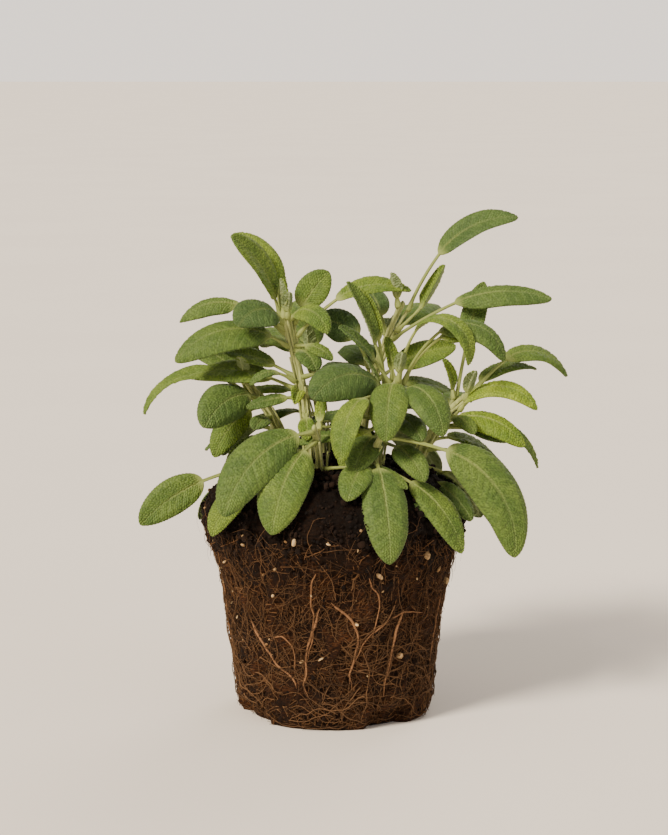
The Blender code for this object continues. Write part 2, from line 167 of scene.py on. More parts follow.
# Leaves too many for nodes of their own in the CAD model: those at the shoot tips, in the axils
# and deep inside the plant. Their rows are in the same form.
MORE_LEAVES = (
    ("tip_hook", "centre_right", 157, 348, 92, 128, 26, 20, 12, 20, -0.3),
    ("inner_hanging", "centre_right", 150, 318, 35, 105, 12, 24, 12, 10, 0),
    ("left_inner", "tall_left", 152, 172, 30, 50, 12, 40, 17, -30, 0),
    ("low_middle", "front_left", 116, 312, 0, 42, 10, 25, 14, 20, 0),
    ("yellow_sliver", "tall_left", 150, 262, 30, 70, 3, 20, 7, -30, 0.3),
    ("sliver_leaf", "tall_left", 140, 274, -10, 40, 3, 16, 8, 10, 0),
    ("axil_left", "outer_left", 138, 250, 10, 40, 5, 16, 9, -20, 0),
    ("axil_right", "outer_right", 140, 300, 10, 50, 6, 18, 9, 10, 0),
    ("small_right", "outer_right", 134, 350, 10, 40, 14, 20, 10, 40, 0),
    ("dark_front", "centre_right", 140, 300, 20, 70, 6, 26, 14, 10, 0),
    ("dark_lower", "centre_right", 132, 250, 5, 50, 8, 30, 16, -10, 0),
    ("lit_lower", "centre_right", 136, 226, -8, 60, 7, 24, 13, -30, 0),
    ("shoulder_left", "tall_left", 170, 300, 10, 70, 4, 16, 12, 0, 0),
    ("dark_upright", "centre_right", 156, 196, 62, 30, 12, 24, 12, -30, 0.2),
    ("small_upright", "centre_right", 150, 205, 70, 20, 6, 15, 8, -20, 0.2),
    ("dark_middle", "tall_left", 158, 338, 20, 40, 8, 22, 12, 20, 0),
    ("small_arch", "tall_left", 156, 200, 50, 110, 8, 16, 7, -20, 0.1),
    ("grey_pointed", "tall_left", 148, 196, 5, 30, 5, 20, 9, -30, 0.1),
    ("middle_back", "tall_left", 158, 168, 32, 30, 10, 26, 12, -30, 0.1),
    ("low_centre", "front_left", 118, 330, 22, 60, 18, 26, 15, 10, -0.1),
    ("low_centre_right", "front_right", 122, 250, 6, 60, 8, 26, 15, -10, 0),
    ("behind_big_left", "front_right", 112, 330, -4, 40, 14, 24, 12, 10, 0),
    ("behind_big_right", "outer_right", 112, 318, -6, 50, 10, 26, 13, 20, 0),
    ("young_bright", "tall_left", 186, 250, 84, 12, 4, 14, 8, -40, 0.2),
    ("curled_small", "tall_left", 180, 200, 66, 150, 8, 16, 8, -20, 0.2),
    ("under_arch", "tall_left", 172, 330, 12, 60, 4, 16, 9, 20, 0),
    ("shaded_small", "outer_right", 141, 200, 36, 60, 8, 16, 9, -10, 0),
    ("tip_young_left", "tall_left", 186, 100, 84, 12, 3, 15, 8, 60, 0.2),
    ("tip_young_left_front", "tall_left", 186, 280, 76, 30, 2, 11, 6, 20, 0.5),
    ("tip_young_centre", "centre_right", 157, 120, 80, 20, 4, 16, 7, 0, 0.6),
    ("tip_young_centre_front", "centre_right", 157, 280, 70, 30, 4, 13, 6, 0, 0.6),
    ("tip_young_right", "outer_right", 148, 150, 80, 20, 3, 15, 7, 0, 0.6),
    ("tip_young_right_front", "outer_right", 148, 290, 70, 34, 3, 14, 7, 0, 0.4),
    ("tip_young_outer", "outer_left", 155, 60, 80, 20, 3, 14, 7, 0, 0.5),
    ("tip_young_outer_front", "outer_left", 155, 260, 70, 40, 3, 13, 7, -20, 0.3),
    ("tip_young_front", "front_left", 138, 60, 80, 20, 2, 13, 6, 0, 0.5),
    ("tip_young_front_right", "front_right", 136, 90, 80, 20, 2, 13, 6, 0, 0.5),
    ("tip_young_back", "back_left", 162, 250, 80, 20, 3, 15, 7, 0, 0.5),
    ("tip_young_back_right", "back_right", 190, 230, 80, 20, 3, 13, 7, 0, 0.5),
    ("rear_fill_left", "back_left", 144, 178, 30, 70, 10, 34, 16, 0, -0.1),
    ("rear_fill_middle", "back_left", 150, 66, 35, 70, 12, 34, 17, 0, -0.1),
    ("rear_fill_low", "back_left", 118, 120, -4, 50, 10, 32, 16, 0, -0.1),
    ("rear_fill_right", "back_right", 142, 76, 30, 70, 12, 36, 17, 0, -0.1),
    ("rear_fill_right_low", "back_right", 120, 88, 0, 50, 12, 34, 17, 0, -0.1),
    ("rear_fill_high", "back_right", 176, 110, 60, 60, 10, 30, 14, 0, 0.1),
    ("rear_fill_side", "back_right", 150, 22, 20, 60, 14, 32, 15, 20, 0),
    ("rear_rim_left", "back_left", 122, 110, -4, 66, 20, 42, 20, 10, -0.2),
    ("rear_rim_right", "back_right", 120, 62, -4, 66, 20, 42, 20, -10, -0.2),
    ("rear_rim_middle", "back_left", 116, 78, -8, 56, 24, 34, 17, 0, -0.2),
    ("rear_rim_side", "outer_left", 116, 158, -6, 60, 18, 36, 18, 20, -0.2),
    ("rear_rim_far", "outer_right", 116, 40, -8, 60, 14, 36, 18, -20, -0.2),
    ("rear_top_left", "back_left", 160, 100, 70, 70, 8, 38, 18, 10, -0.1),
    ("rear_top_right", "back_right", 172, 84, 40, 70, 8, 34, 15, -10, -0.1),
    ("tall_rear", "tall_left", 166, 110, 40, 80, 8, 36, 17, 0, -0.2),
    ("tall_rear_low", "tall_left", 148, 84, 20, 60, 10, 34, 16, 0, -0.2),
    ("outer_rear", "outer_right", 140, 76, 40, 80, 8, 32, 15, 0, -0.2),
    ("centre_rear", "centre_right", 146, 80, 30, 70, 10, 34, 16, 0, -0.2),
    ("inner_one", "tall_left", 134, 350, 14, 50, 12, 24, 12, 10, 0),
    ("inner_two", "centre_right", 138, 165, 20, 50, 12, 24, 12, -10, 0),
    ("inner_three", "back_left", 134, 300, 10, 50, 10, 26, 13, 0, 0),
    ("inner_four", "back_left", 146, 330, 30, 60, 12, 24, 12, 20, 0),
    ("inner_five", "front_right", 128, 160, 30, 60, 12, 24, 12, -20, 0),
    ("inner_six", "back_right", 140, 250, 20, 60, 12, 26, 13, 0, 0),
    ("left_fill", "outer_left", 132, 150, 10, 60, 10, 32, 15, -20, 0),
    ("left_fill_low", "outer_left", 120, 222, -8, 40, 8, 26, 13, -20, 0),
    ("right_fill", "outer_right", 128, 30, 12, 60, 10, 30, 15, 20, 0),
)
# How young a leaf looks: 0 is a mature grey-green and 1 is a fresh yellow-green. Part of this is painted
# light: leaves that stood in the sun and were lit through from behind, such as lit_lower and yellow_sliver,
# get higher values and so a paler yellow-green.
YOUTH_AND_LIGHT = {
    "right_yellow": 1.0, "right_bright": 0.8, "yellow_sliver": 1.0, "tip_young_left": 0.7,
    "centre_hanging": 0.45, "arch_front": 0.5, "arch_rear": 0.5, "far_left": 0.45,
    "top_right_folded": 0.55, "pale_narrow": 0.55, "green_rear": 0.6, "right_inner": 0.45,
    "lower_left_small": 0.4, "mid_left_hanging": 0.4, "low_middle": 0.55, "top_left_rear": 0.45,
    "young_bright": 0.8, "sliver_leaf": 0.7, "lit_lower": 0.5,
    "left_oval": 0.05, "centre_broad": 0.0, "right_grey": 0.15, "grey_rear": 0.1,
}
MIDDLE_AGE = 0.25
YOUNG_TIP = 0.6

# ---------------------------------------------------------------- small helpers


def linear(hex_colour):
    """A web colour as linear RGBA."""
    channels = [int(hex_colour[i : i + 2], 16) / 255 for i in (1, 3, 5)]
    return (*[c / 12.92 if c <= 0.04045 else ((c + 0.055) / 1.055) ** 2.4 for c in channels], 1)


def compass(angle):
    """Level unit vectors that point at compass angles in degrees."""
    turn = np.radians(angle)
    return np.stack([np.cos(turn), np.sin(turn), np.zeros_like(turn)], axis=-1)


def smooth(low, high, value):
    """0 below low, 1 above high, and an even ramp between."""
    share = np.clip((value - low) / (high - low), 0, 1)
    return share * share * (3 - 2 * share)


def scatter(cells, seed):
    """A random number from 0 to 1 for each row of whole numbers, the same each run."""
    mixed = np.full(cells.shape[:-1], np.uint64(seed * 2654435761 + 97531))
    with np.errstate(over="ignore"):
        for i, prime in zip(range(cells.shape[-1]), (73856093, 19349663, 83492791)):
            mixed = mixed ^ (cells[..., i].astype(np.int64).astype(np.uint64) * np.uint64(prime))
            mixed = (mixed ^ (mixed >> np.uint64(29))) * np.uint64(0xBF58476D1CE4E5B9)
    return ((mixed >> np.uint64(11)) & np.uint64(0xFFFFF)).astype(float) / 0xFFFFF


def rough_noise(points, wavelength, seed):
    """Smooth noise from -1 to 1 at points, with bumps about a wavelength apart."""
    spot = points / wavelength
    cell = np.floor(spot).astype(np.int64)
    share = spot - cell
    share = share * share * (3 - 2 * share)
    total = np.zeros(points.shape[:-1])
    for corner in np.ndindex(*(2,) * points.shape[-1]):
        step = np.array(corner)
        weight = np.prod(np.where(step == 1, share, 1 - share), axis=-1)
        total += weight * scatter(cell + step, seed)
    return 2 * total - 1


def cell_walls(points, size, seed):
    """How far each flat point is from the wall between its cell and the next, in cell sizes."""
    spot = points / size
    cell = np.floor(spot).astype(np.int64)
    nearest = np.full(len(points), 9.0)
    second = np.full(len(points), 9.0)
    for step_x in (-1, 0, 1):
        for step_y in (-1, 0, 1):
            other = cell + np.array([step_x, step_y])
            seat = np.stack([scatter(other, seed), scatter(other, seed + 1)], axis=-1)
            away = np.linalg.norm(other + 0.15 + 0.7 * seat - spot, axis=-1)
            second = np.minimum(second, np.maximum(nearest, away))
            nearest = np.minimum(nearest, away)
    return second - nearest


def new_piece(name, points, faces, material, values=None):
    """A smooth mesh object with the named float attributes, riding on the plant."""
    mesh = bpy.data.meshes.new(name)
    mesh.vertices.add(len(points))
    mesh.vertices.foreach_set("co", np.asarray(points, np.float32).ravel())
    faces = np.asarray(faces, np.int32)
    sides = faces.shape[1]
    mesh.loops.add(faces.size)
    mesh.loops.foreach_set("vertex_index", faces.ravel())
    mesh.polygons.add(len(faces))
    mesh.polygons.foreach_set("loop_start", np.arange(0, faces.size, sides, dtype=np.int32))
    mesh.polygons.foreach_set("use_smooth", np.ones(len(faces), bool))
    mesh.update(calc_edges=True)
    mesh.validate()
    for key, numbers in (values or {}).items():
        made = mesh.attributes.new(key, "FLOAT", "POINT")
        made.data.foreach_set("value", np.asarray(numbers, np.float32).ravel())
    mesh.materials.append(material)
    obj = bpy.data.objects.new(name, mesh)
    bpy.context.scene.collection.objects.link(obj)
    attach(obj, "root")
    return obj


def tube_faces(rings, sides, first=0):
    """Quads between neighbouring rings of an even number of points, and a cap of quads on each end."""
    ring = np.arange(sides)
    after = (ring + 1) % sides
    low = first + np.arange(rings - 1)[:, None] * sides
    walls = np.stack([low + ring, low + after, low + sides + after, low + sides + ring], axis=-1)
    caps = []
    for start, turn in ((first, -1), (first + (rings - 1) * sides, 1)):
        for i in range(sides // 2 - 1):
            quad = [start + i, start + i + 1, start + sides - 2 - i, start + sides - 1 - i]
            caps.append(quad[::turn])
    return np.concatenate([walls.reshape(-1, 4), np.array(caps)])


def tube_points(path, radii, sides):
    """Rings of points round a path, with the rings' turn carried along so that they don't twist."""
    path = np.asarray(path, float)
    along = np.gradient(path, axis=0)
    along /= np.linalg.norm(along, axis=1)[:, None]
    side = np.cross(along[0], (0.31, 0.22, 0.92))
    rings = []
    for i, centre in enumerate(path):
        side = side - along[i] * (side @ along[i])
        side /= np.linalg.norm(side)
        other = np.cross(along[i], side)
        turn = 2 * math.pi * np.arange(sides) / sides
        spread = np.cos(turn)[:, None] * side + np.sin(turn)[:, None] * other
        rings.append(centre + spread * radii[i])
    return np.concatenate(rings)


def many_tubes(name, strands, sides, material, tones):
    """One piece made of many closed tubes, from (path, radii) strands that each have a tone."""
    points = [tube_points(path, radii, sides) for path, radii in strands]
    firsts = np.cumsum([0] + [len(ring) for ring in points])
    faces = [tube_faces(len(path), sides, first) for (path, _), first in zip(strands, firsts)]
    values = {"tone": np.repeat(tones, [len(ring) for ring in points])}
    return new_piece(name, np.concatenate(points), np.concatenate(faces), material, values)


# ---------------------------------------------------------------- materials


class Nodes:
    """A short way to write a material's node tree."""

    def __init__(self, name):
        self.material = bpy.data.materials.new(name)
        self.material.use_nodes = True
        self.tree = self.material.node_tree
        self.shader = self.tree.nodes["Principled BSDF"]
        self.output = self.tree.nodes["Material Output"]
        self.place = self.add("ShaderNodeTexCoord").outputs["Object"]

    def add(self, kind, **settings):
        node = self.tree.nodes.new(kind)
        for key, value in settings.items():
            setattr(node, key, value)
        return node

    def put(self, socket, value):
        """Links an output to a socket, or sets the socket to a plain value."""
        if isinstance(value, bpy.types.NodeSocket):
            self.tree.links.new(value, socket)
        else:
            socket.default_value = value

    def attribute(self, name):
        return self.add("ShaderNodeAttribute", attribute_name=name).outputs["Fac"]

    def noise(self, scale, detail=4.0, roughness=0.55, stretch=None):
        node = self.add("ShaderNodeTexNoise")
        node.inputs["Scale"].default_value = scale
        node.inputs["Detail"].default_value = detail
        node.inputs["Roughness"].default_value = roughness
        place = self.place
        if stretch:
            mapping = self.add("ShaderNodeMapping")
            mapping.inputs["Scale"].default_value = stretch
            self.put(mapping.inputs["Vector"], self.place)
            place = mapping.outputs["Vector"]
        self.put(node.inputs["Vector"], place)
        return node.outputs["Fac"]

    def calculate(self, operation, first, second, clamp=False):
        node = self.add("ShaderNodeMath", operation=operation, use_clamp=clamp)
        self.put(node.inputs[0], first)
        self.put(node.inputs[1], second)
        return node.outputs[0]

    def ramp(self, value, low, high, start=0.0, end=1.0):
        node = self.add("ShaderNodeMapRange", interpolation_type="SMOOTHSTEP")
        self.put(node.inputs["Value"], value)
        node.inputs["From Min"].default_value = low
        node.inputs["From Max"].default_value = high
        node.inputs["To Min"].default_value = start
        node.inputs["To Max"].default_value = end
        return node.outputs["Result"]

    def mix(self, share, first, second):
        node = self.add("ShaderNodeMix", data_type="RGBA")
        self.put(node.inputs[0], share)
        self.put(node.inputs[6], first)
        self.put(node.inputs[7], second)
        return node.outputs[2]

    def bump(self, height, distance, strength=1.0):
        node = self.add("ShaderNodeBump")
        node.inputs["Strength"].default_value = strength
        node.inputs["Distance"].default_value = distance
        self.put(node.inputs["Height"], height)
        self.put(self.shader.inputs["Normal"], node.outputs["Normal"])


def leaf_material():
    """Bumpy, finely hairy sage leaf: pale veins, a paler underside, pale green stalks, and painted shade in
    the creases between its raised cells.
    """
    n = Nodes("sage_leaf")
    vein = n.attribute("vein")
    under = n.attribute("under")
    stalk = n.attribute("stalk")
    painted_crease_shade = n.attribute("painted_crease_shade")
    youth_and_light = n.attribute("youth_and_light")
    patches = n.noise(90, 3)
    mottle = n.noise(700, 5)
    hairs = n.noise(3600, 2)
    mature = n.mix(n.ramp(patches, 0.3, 0.7), linear("#425e2e"), linear("#55733a"))
    fresh = n.mix(n.ramp(patches, 0.3, 0.7), linear("#7fa021"), linear("#aec42f"))
    # Partly painted light: besides young growth, this paler yellow-green stands for sun on some leaves and
    # light through them.
    green = n.mix(youth_and_light, mature, fresh)
    green = n.mix(n.ramp(mottle, 0.35, 0.75, 0.0, 0.3), green, linear("#2b421b"))
    # Painted shade: the creases between the raised cells are painted dark green.
    green = n.mix(n.calculate("MULTIPLY", painted_crease_shade, 0.7), green, linear("#22370f"))
    green = n.mix(n.calculate("MULTIPLY", vein, 0.3), green, linear("#8b9a5a"))
    beneath = n.mix(n.calculate("MULTIPLY", vein, 0.6), linear("#7c8d5c"), linear("#a7b283"))
    colour = n.mix(under, green, beneath)
    pale = n.mix(youth_and_light, linear("#8d9a52"), linear("#aeb86a"))
    colour = n.mix(stalk, colour, pale)
    colour = n.mix(n.ramp(hairs, 0.58, 0.74, 0.0, 0.2), colour, linear("#a9b686"))
    n.put(n.shader.inputs["Base Color"], colour)
    n.put(n.shader.inputs["Roughness"], n.ramp(mottle, 0.2, 0.8, 0.52, 0.72))
    n.shader.inputs["Specular IOR Level"].default_value = 0.35
    n.shader.inputs["Sheen Weight"].default_value = 0.14
    n.shader.inputs["Sheen Roughness"].default_value = 0.45
    n.shader.inputs["Sheen Tint"].default_value = linear("#dfe8cc")
    n.bump(n.calculate("ADD", hairs, mottle), 0.00016, 0.7)
    through = n.add("ShaderNodeBsdfTranslucent")
    n.put(through.inputs["Color"], n.mix(youth_and_light, linear("#86a33a"), linear("#c3d14e")))
    join = n.add("ShaderNodeMixShader")
    join.inputs[0].default_value = 0.22
    n.put(join.inputs[1], n.shader.outputs["BSDF"])
    n.put(join.inputs[2], through.outputs["BSDF"])
    n.put(n.output.inputs["Surface"], join.outputs["Shader"])
    return n.material


def stem_material():
    """Stems that are brown and woody at the foot, and pale green and downy higher up."""
    n = Nodes("sage_stem")
    woody = n.attribute("woody")
    streaks = n.noise(260, 5, 0.6, (4.0, 4.0, 0.5))
    bark = n.mix(n.ramp(streaks, 0.35, 0.65), linear("#4a3520"), linear("#7d653d"))
    soft = n.mix(n.ramp(streaks, 0.35, 0.65), linear("#848e4c"), linear("#aab06a"))
    n.put(n.shader.inputs["Base Color"], n.mix(woody, soft, bark))
    n.shader.inputs["Roughness"].default_value = 0.75
    n.shader.inputs["Sheen Weight"].default_value = 0.3
    n.bump(streaks, 0.0004, 0.8)
    return n.material


def compost_material():
    """Dark, moist compost with redder fibrous patches, and painted shade: near black in the dips between its
    lumps and over its upper part, which lies under the leaves.
    """
    n = Nodes("compost")
    patches = n.noise(60, 4)
    grains = n.noise(700, 6, 0.65)
    strands = n.noise(500, 4, 0.6, (1.0, 1.0, 4.0))
    dark = n.mix(n.ramp(grains, 0.35, 0.7), linear("#0c0603"), linear("#26150a"))
    brown = n.mix(n.ramp(strands, 0.4, 0.65), linear("#1d0f07"), linear("#4d2f18"))
    colour = n.mix(n.ramp(patches, 0.38, 0.62), dark, brown)
    # Painted shade: near black in the dips between lumps and over the ball's upper part, where the leaves
    # cast their shadow.
    n.put(n.shader.inputs["Base Color"], n.mix(n.attribute("painted_shade"), colour, linear("#070402")))
    n.put(n.shader.inputs["Roughness"], n.ramp(grains, 0.3, 0.7, 0.7, 0.95))
    n.shader.inputs["Specular IOR Level"].default_value = 0.12
    n.bump(grains, 0.0012, 0.9)
    return n.material


def toned_material(name, dark, light, roughness, scale, depth):
    """A material between two colours by each strand's own tone, with fine streaks."""
    n = Nodes(name)
    streaks = n.noise(scale, 4)
    tone = n.calculate("ADD", n.attribute("tone"), n.ramp(streaks, 0.3, 0.7, -0.22, 0.22), clamp=True)
    n.put(n.shader.inputs["Base Color"], n.mix(tone, linear(dark), linear(light)))
    n.shader.inputs["Roughness"].default_value = roughness
    n.shader.inputs["Specular IOR Level"].default_value = 0.2
    n.bump(streaks, depth, 0.7)
    return n.material


def floor_material():
    """A matt, warm off-white."""
    n = Nodes("studio_floor")
    soft = n.mix(n.ramp(n.noise(3, 2), 0.3, 0.7), linear("#efe7dc"), linear("#f2eadf"))
    n.put(n.shader.inputs["Base Color"], soft)
    n.shader.inputs["Roughness"].default_value = 0.85
    return n.material


# ---------------------------------------------------------------- leaves


def outline(share):
    """Half width of a blade as a share of its widest: a round base, and a tip that ends in a blunt point."""
    return share**BASE_ROUNDNESS * (1 - share) ** TIP_POINT / WIDEST


def stem_point(stem, height):
    """Where a stem's axis is at a height in metres."""
    (foot_x, foot_y), (tip_x, tip_y, tip_z) = STEMS[stem]
    share = max(0, (height - STEM_BEND_START) / (tip_z * MM - STEM_BEND_START)) ** 2
    x = (foot_x + (tip_x - foot_x) * share) * MM
    y = (foot_y + (tip_y - foot_y) * share) * MM
    return np.array([x, y, height])


def stem_radius(stem, height):
    share = (height - STEM_BOTTOM) / (STEMS[stem][1][2] * MM - STEM_BOTTOM)
    return STEM_RADIUS_FOOT + (STEM_RADIUS_TIP - STEM_RADIUS_FOOT) * max(0, share)


def arch(start, bend, along):
    """Points and slopes on an even arch: x and z grow from 0, and the slope falls as along grows."""
    slope = start - bend * along
    x = (math.sin(start) - np.sin(slope)) / bend
    z = (np.cos(slope) - math.cos(start)) / bend
    return x, z, slope


def frame_along(leaf, along):
    """Points, sides and normals at distances along a leaf's spine, in the plant's frame."""
    stem, height, angle = leaf[1:4]
    rise, droop = math.radians(leaf[4]), math.radians(leaf[5])
    stalk, blade = leaf[6] * MM, leaf[7] * MM
    bend = droop * (stalk + blade) / (STALK_BEND * stalk**2 + 2 * stalk * blade + blade**2)
    start = rise - droop + bend * (STALK_BEND * stalk + blade)
    near_x, near_z, near_slope = arch(start, STALK_BEND * bend, np.minimum(along, stalk))
    end_x, end_z, end_slope = arch(start, STALK_BEND * bend, stalk)
    far_x, far_z, far_slope = arch(end_slope, bend, np.maximum(along - stalk, 0))
    in_stalk = along <= stalk
    slope = np.where(in_stalk, near_slope, far_slope)
    flat = np.zeros_like(slope)
    x = np.where(in_stalk, near_x, end_x + far_x)
    z = np.where(in_stalk, near_z, end_z + far_z)
    normal = np.stack([-np.sin(slope), flat, np.cos(slope)], axis=-1)
    side = np.array([0.0, -1.0, 0.0])
    roll = (math.radians(leaf[9]) * np.clip(along / stalk, 0, 1))[:, None]
    turned_side = side * np.cos(roll) - normal * np.sin(roll)
    turned_normal = normal * np.cos(roll) + side * np.sin(roll)
    out = compass(angle)
    across = np.array([-out[1], out[0], 0])
    turn = np.stack([out, across, np.array([0, 0, 1.0])])
    lean = (STALK_RADIUS + 2 * GAP) * abs(math.sin(start))
    here = stem_point(stem, height * MM)
    step = here - stem_point(stem, (height - 1) * MM)
    slant = math.sqrt(1 + (step @ out / MM) ** 2)
    reach = slant * (stem_radius(stem, height * MM) + 2 * GAP + lean)
    place = here + out * reach
    return np.stack([x, flat, z], axis=-1) @ turn + place, turned_side @ turn, turned_normal @ turn


def plain_box(leaf):
    """The lowest and highest corners of the CAD model's plain form of a leaf."""
    stalk, blade, width, fold = leaf[6] * MM, leaf[7] * MM, leaf[8] * MM, leaf[10]
    along = np.array([0, 0.55 * stalk] + [stalk + blade * share for share in BLADE_STATIONS])
    share = np.clip((along - stalk) / blade, 0, 1)
    in_stalk = along <= stalk
    point, side, normal = frame_along(leaf, along)
    half = np.maximum(np.where(in_stalk, STALK_RADIUS, TIP_HALF_WIDTH), 0.5 * width * outline(share))
    thick = np.where(in_stalk, STALK_RADIUS, 0.5 * BLADE_THICKNESS)
    corners = []
    for across, up in ((-1, 0), (-0.5, 1), (0, 1), (0.5, 1), (1, 0), (0.5, -1), (0, -1), (-0.5, -1)):
        lift = np.where(in_stalk, 0, fold * half * across**2) + thick * up
        corners.append(point + side * (half * across)[:, None] + normal * lift[:, None])
    corners = np.concatenate(corners)
    return np.concatenate([corners.min(axis=0), corners.max(axis=0)])


def moves():
    """Small changes of (angle, rise, height), in the order of how far they carry the middle of a leaf."""
    found = []
    for down in range(MOST_SLIDES + 1):
        for up in range(-MOST_TURNS, MOST_TURNS + 1):
            for side in range(-MOST_TURNS, MOST_TURNS + 1):
                far = (side**2 + up**2) * TURN_REACH**2 + down**2
                found.append((far, side * TURN_STEP, up * TURN_STEP, -down))
    return sorted(found)


def as_packed(leaf):
    """The leaf with the small move that the CAD model gave it, found from its node's box."""
    low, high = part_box("leaf_" + leaf[0])
    wanted = np.array([*low, *high])
    for _, side, up, slide in moves():
        tried = (*leaf[:2], leaf[2] + slide, leaf[3] + side, leaf[4] + up, *leaf[5:])
        if np.abs(plain_box(tried) - wanted).max() < 0.1 * MM:
            return tried
    raise ValueError(leaf[0] + " isn't where the CAD model has it")


# Sizes of a detailed blade.
LAMINA = 0.45 * MM
CELL = 1.3 * MM
CELL_RELIEF = 0.46 * MM
FINE_RELIEF = 0.08 * MM
RELIEF_BETWEEN_VEINS = 0.12 * MM
VEIN_SPACING = 4.6 * MM
VEIN_WIDTH = 0.34 * MM
VEIN_DEPTH = 0.16 * MM
# How far a side vein runs towards the tip for its distance outwards, and how much it curves, per metre.
VEIN_SLANT = 0.75
VEIN_CURVE = 12
MIDRIB_WIDTH = 0.55 * MM
MIDRIB_DEPTH = 0.5 * MM
TOOTH = 1.5 * MM
TOOTH_DEPTH = 0.22 * MM
MARGIN_WANDER = 0.35 * MM
MARGIN_WAVE = 0.9 * MM


class FlatLeaf:
    """A leaf laid out flat as a grid of points, with rows along it and columns across it.

    along is a row's distance from the foot of the stalk, share is how far up the blade it is, from 0 to
    1, and across says where a column lies between the margins, from -1 to 1.
    """

    def __init__(self, leaf, number, rows, columns, chance):
        stalk, blade, width = leaf[6] * MM, leaf[7] * MM, leaf[8] * MM
        self.number = number
        ease = np.linspace(0, 1, rows)
        blade_rows = stalk + blade * (0.55 * ease + 0.45 * (1 - np.cos(math.pi * ease)) / 2)
        stalk_rows = np.linspace(-1.5 * MM, stalk, max(6, int(stalk / MM)))[:-1]
        self.along = np.concatenate([stalk_rows, blade_rows])
        self.share = np.clip((self.along - stalk) / blade, 0, 1)[:, None]
        self.in_blade = smooth(0, 5 * MM, self.along - stalk)[:, None]
        even = np.linspace(-1, 1, columns + 1)
        self.across = (np.sign(even) * np.abs(even) ** 1.2)[None, :]

        base_flare = 1 + 0.7 * np.exp(-((self.along / (3 * MM)) ** 2))
        stalk_half = STALK_RADIUS * (1.25 - 0.25 * smooth(0, stalk, self.along)) * base_flare
        self.stalk_half = stalk_half[:, None]
        in_stalk = (self.along <= stalk)[:, None]
        half = np.maximum(self.stalk_half * in_stalk, 0.5 * width * outline(self.share))
        self.half = np.maximum(half, 0.12 * MM)
        left, right = [self.margin(phase) for phase in chance.uniform(0, 6, 2)]
        edge = np.where(self.across < 0, left, right) * np.abs(self.across) ** 6
        self.y = self.across * self.half + np.sign(self.across) * edge
        self.x = np.broadcast_to(self.along[:, None], self.y.shape)

        self.away = np.abs(self.y)
        vein = (self.x - stalk - VEIN_SLANT * self.away - VEIN_CURVE * self.away**2) / VEIN_SPACING
        vein = vein + np.where(self.across < 0, 0.0, 0.5)
        vein = vein + 0.12 * rough_noise(np.stack([self.x, self.y], -1), 6 * MM, number + 7)
        self.from_vein = np.abs(vein - np.round(vein)) * VEIN_SPACING * 0.8
        off_middle = smooth(0, 2 * MM, self.away + 1 * MM)
        self.side_vein = np.exp(-((self.from_vein / VEIN_WIDTH) ** 2)) * off_middle
        self.midrib = np.exp(-((self.away / MIDRIB_WIDTH) ** 2))
        self.inside = smooth(0, 0.08, 1 - np.abs(self.across)) * self.in_blade
        self.skewed = np.stack([self.x - VEIN_SLANT * self.away, self.y * 1.15], -1).reshape(-1, 2)
        self.walls = self.cells(CELL, 50)

    def margin(self, phase):
        """How far one margin's teeth and wander carry it outwards, row by row."""
        teeth = np.abs(np.sin(math.pi * self.along / TOOTH + phase))
        spot = np.stack([self.along, np.full_like(self.along, phase)], -1)
        wander = rough_noise(spot, 9 * MM, self.number)
        edge = TOOTH_DEPTH * (teeth - 0.6) + MARGIN_WANDER * wander
        return edge[:, None] * self.in_blade * smooth(0, 0.03, 1 - self.share)

    def cells(self, size, seed):
        """How far each point is from a wall between cells that lean with the side veins."""
        return cell_walls(self.skewed, size, seed + self.number).reshape(self.y.shape)

    def relief(self):
        """Height of the raised cells, less the sunken veins."""
        pillow = np.sin(math.pi * np.clip(self.from_vein / (0.4 * VEIN_SPACING), 0, 1) / 2)
        raised = CELL_RELIEF * smooth(0.0, 0.55, self.walls)
        raised = raised + FINE_RELIEF * smooth(0, 0.5, self.cells(0.5 * CELL, 90))
        raised = raised + RELIEF_BETWEEN_VEINS * pillow
        sunken = MIDRIB_DEPTH * self.midrib * (1 - 0.7 * self.share)
        return (raised - VEIN_DEPTH * self.side_vein - sunken) * self.inside

    def lift(self, fold):
        """How far the blade's sides rise above its middle, with their waves and their curled edges."""
        spot = np.stack([self.x, np.sign(self.y)], -1)
        wave = rough_noise(spot, 14 * MM, self.number + 3)
        curl = -0.16 * self.half * smooth(0.62, 1.0, np.abs(self.across))
        lift = fold * self.half * self.across**2 + MARGIN_WAVE * wave * self.across**2 + curl
        return (lift + 0.06 * self.half * np.abs(self.across)) * self.in_blade

    def thickness(self):
        """How far the upper and the lower surface are from the middle of the leaf."""
        rim = np.sqrt(np.clip(1 - np.abs(self.across) ** 6, 0, 1))
        round_edge = np.sqrt(np.clip(1 - self.across**2, 0, 1))
        rib = (0.95 - 0.75 * self.share) * MM
        rib_depth = np.sqrt(np.clip(rib**2 - self.away**2, 0, None)) * smooth(0, 0.02, 1 - self.share)
        channel = 0.35 * self.stalk_half * np.exp(-((self.across / 0.45) ** 2))
        stalk_top = 0.75 * self.stalk_half * round_edge - channel
        vein_depth = 0.22 * MM * self.side_vein * self.inside
        in_stalk = 1 - self.in_blade
        top = self.in_blade * 0.5 * LAMINA * rim + in_stalk * stalk_top
        below = self.in_blade * (0.5 * LAMINA * rim + 0.8 * rib_depth + vein_depth)
        return top, below + in_stalk * self.stalk_half * round_edge

    def paint(self):
        """What the leaf's material reads at each point of the upper surface."""
        stalk = np.maximum(1 - self.in_blade, 0.75 * self.midrib * smooth(1.0, 0.0, self.share * 1.3))
        return {
            "vein": np.clip(0.9 * self.midrib + 0.45 * self.side_vein, 0, 1) * self.in_blade,
            # Painted shade in the creases between the raised cells.
            "painted_crease_shade": (1 - smooth(0.05, 0.4, self.walls)) * self.in_blade,
            "stalk": stalk,
        }


def all_round(upper, lower):
    """Rows right round a leaf: over its upper side, and back under it without the shared margins."""
    return np.concatenate([upper, lower[:, -2:0:-1]], axis=1)


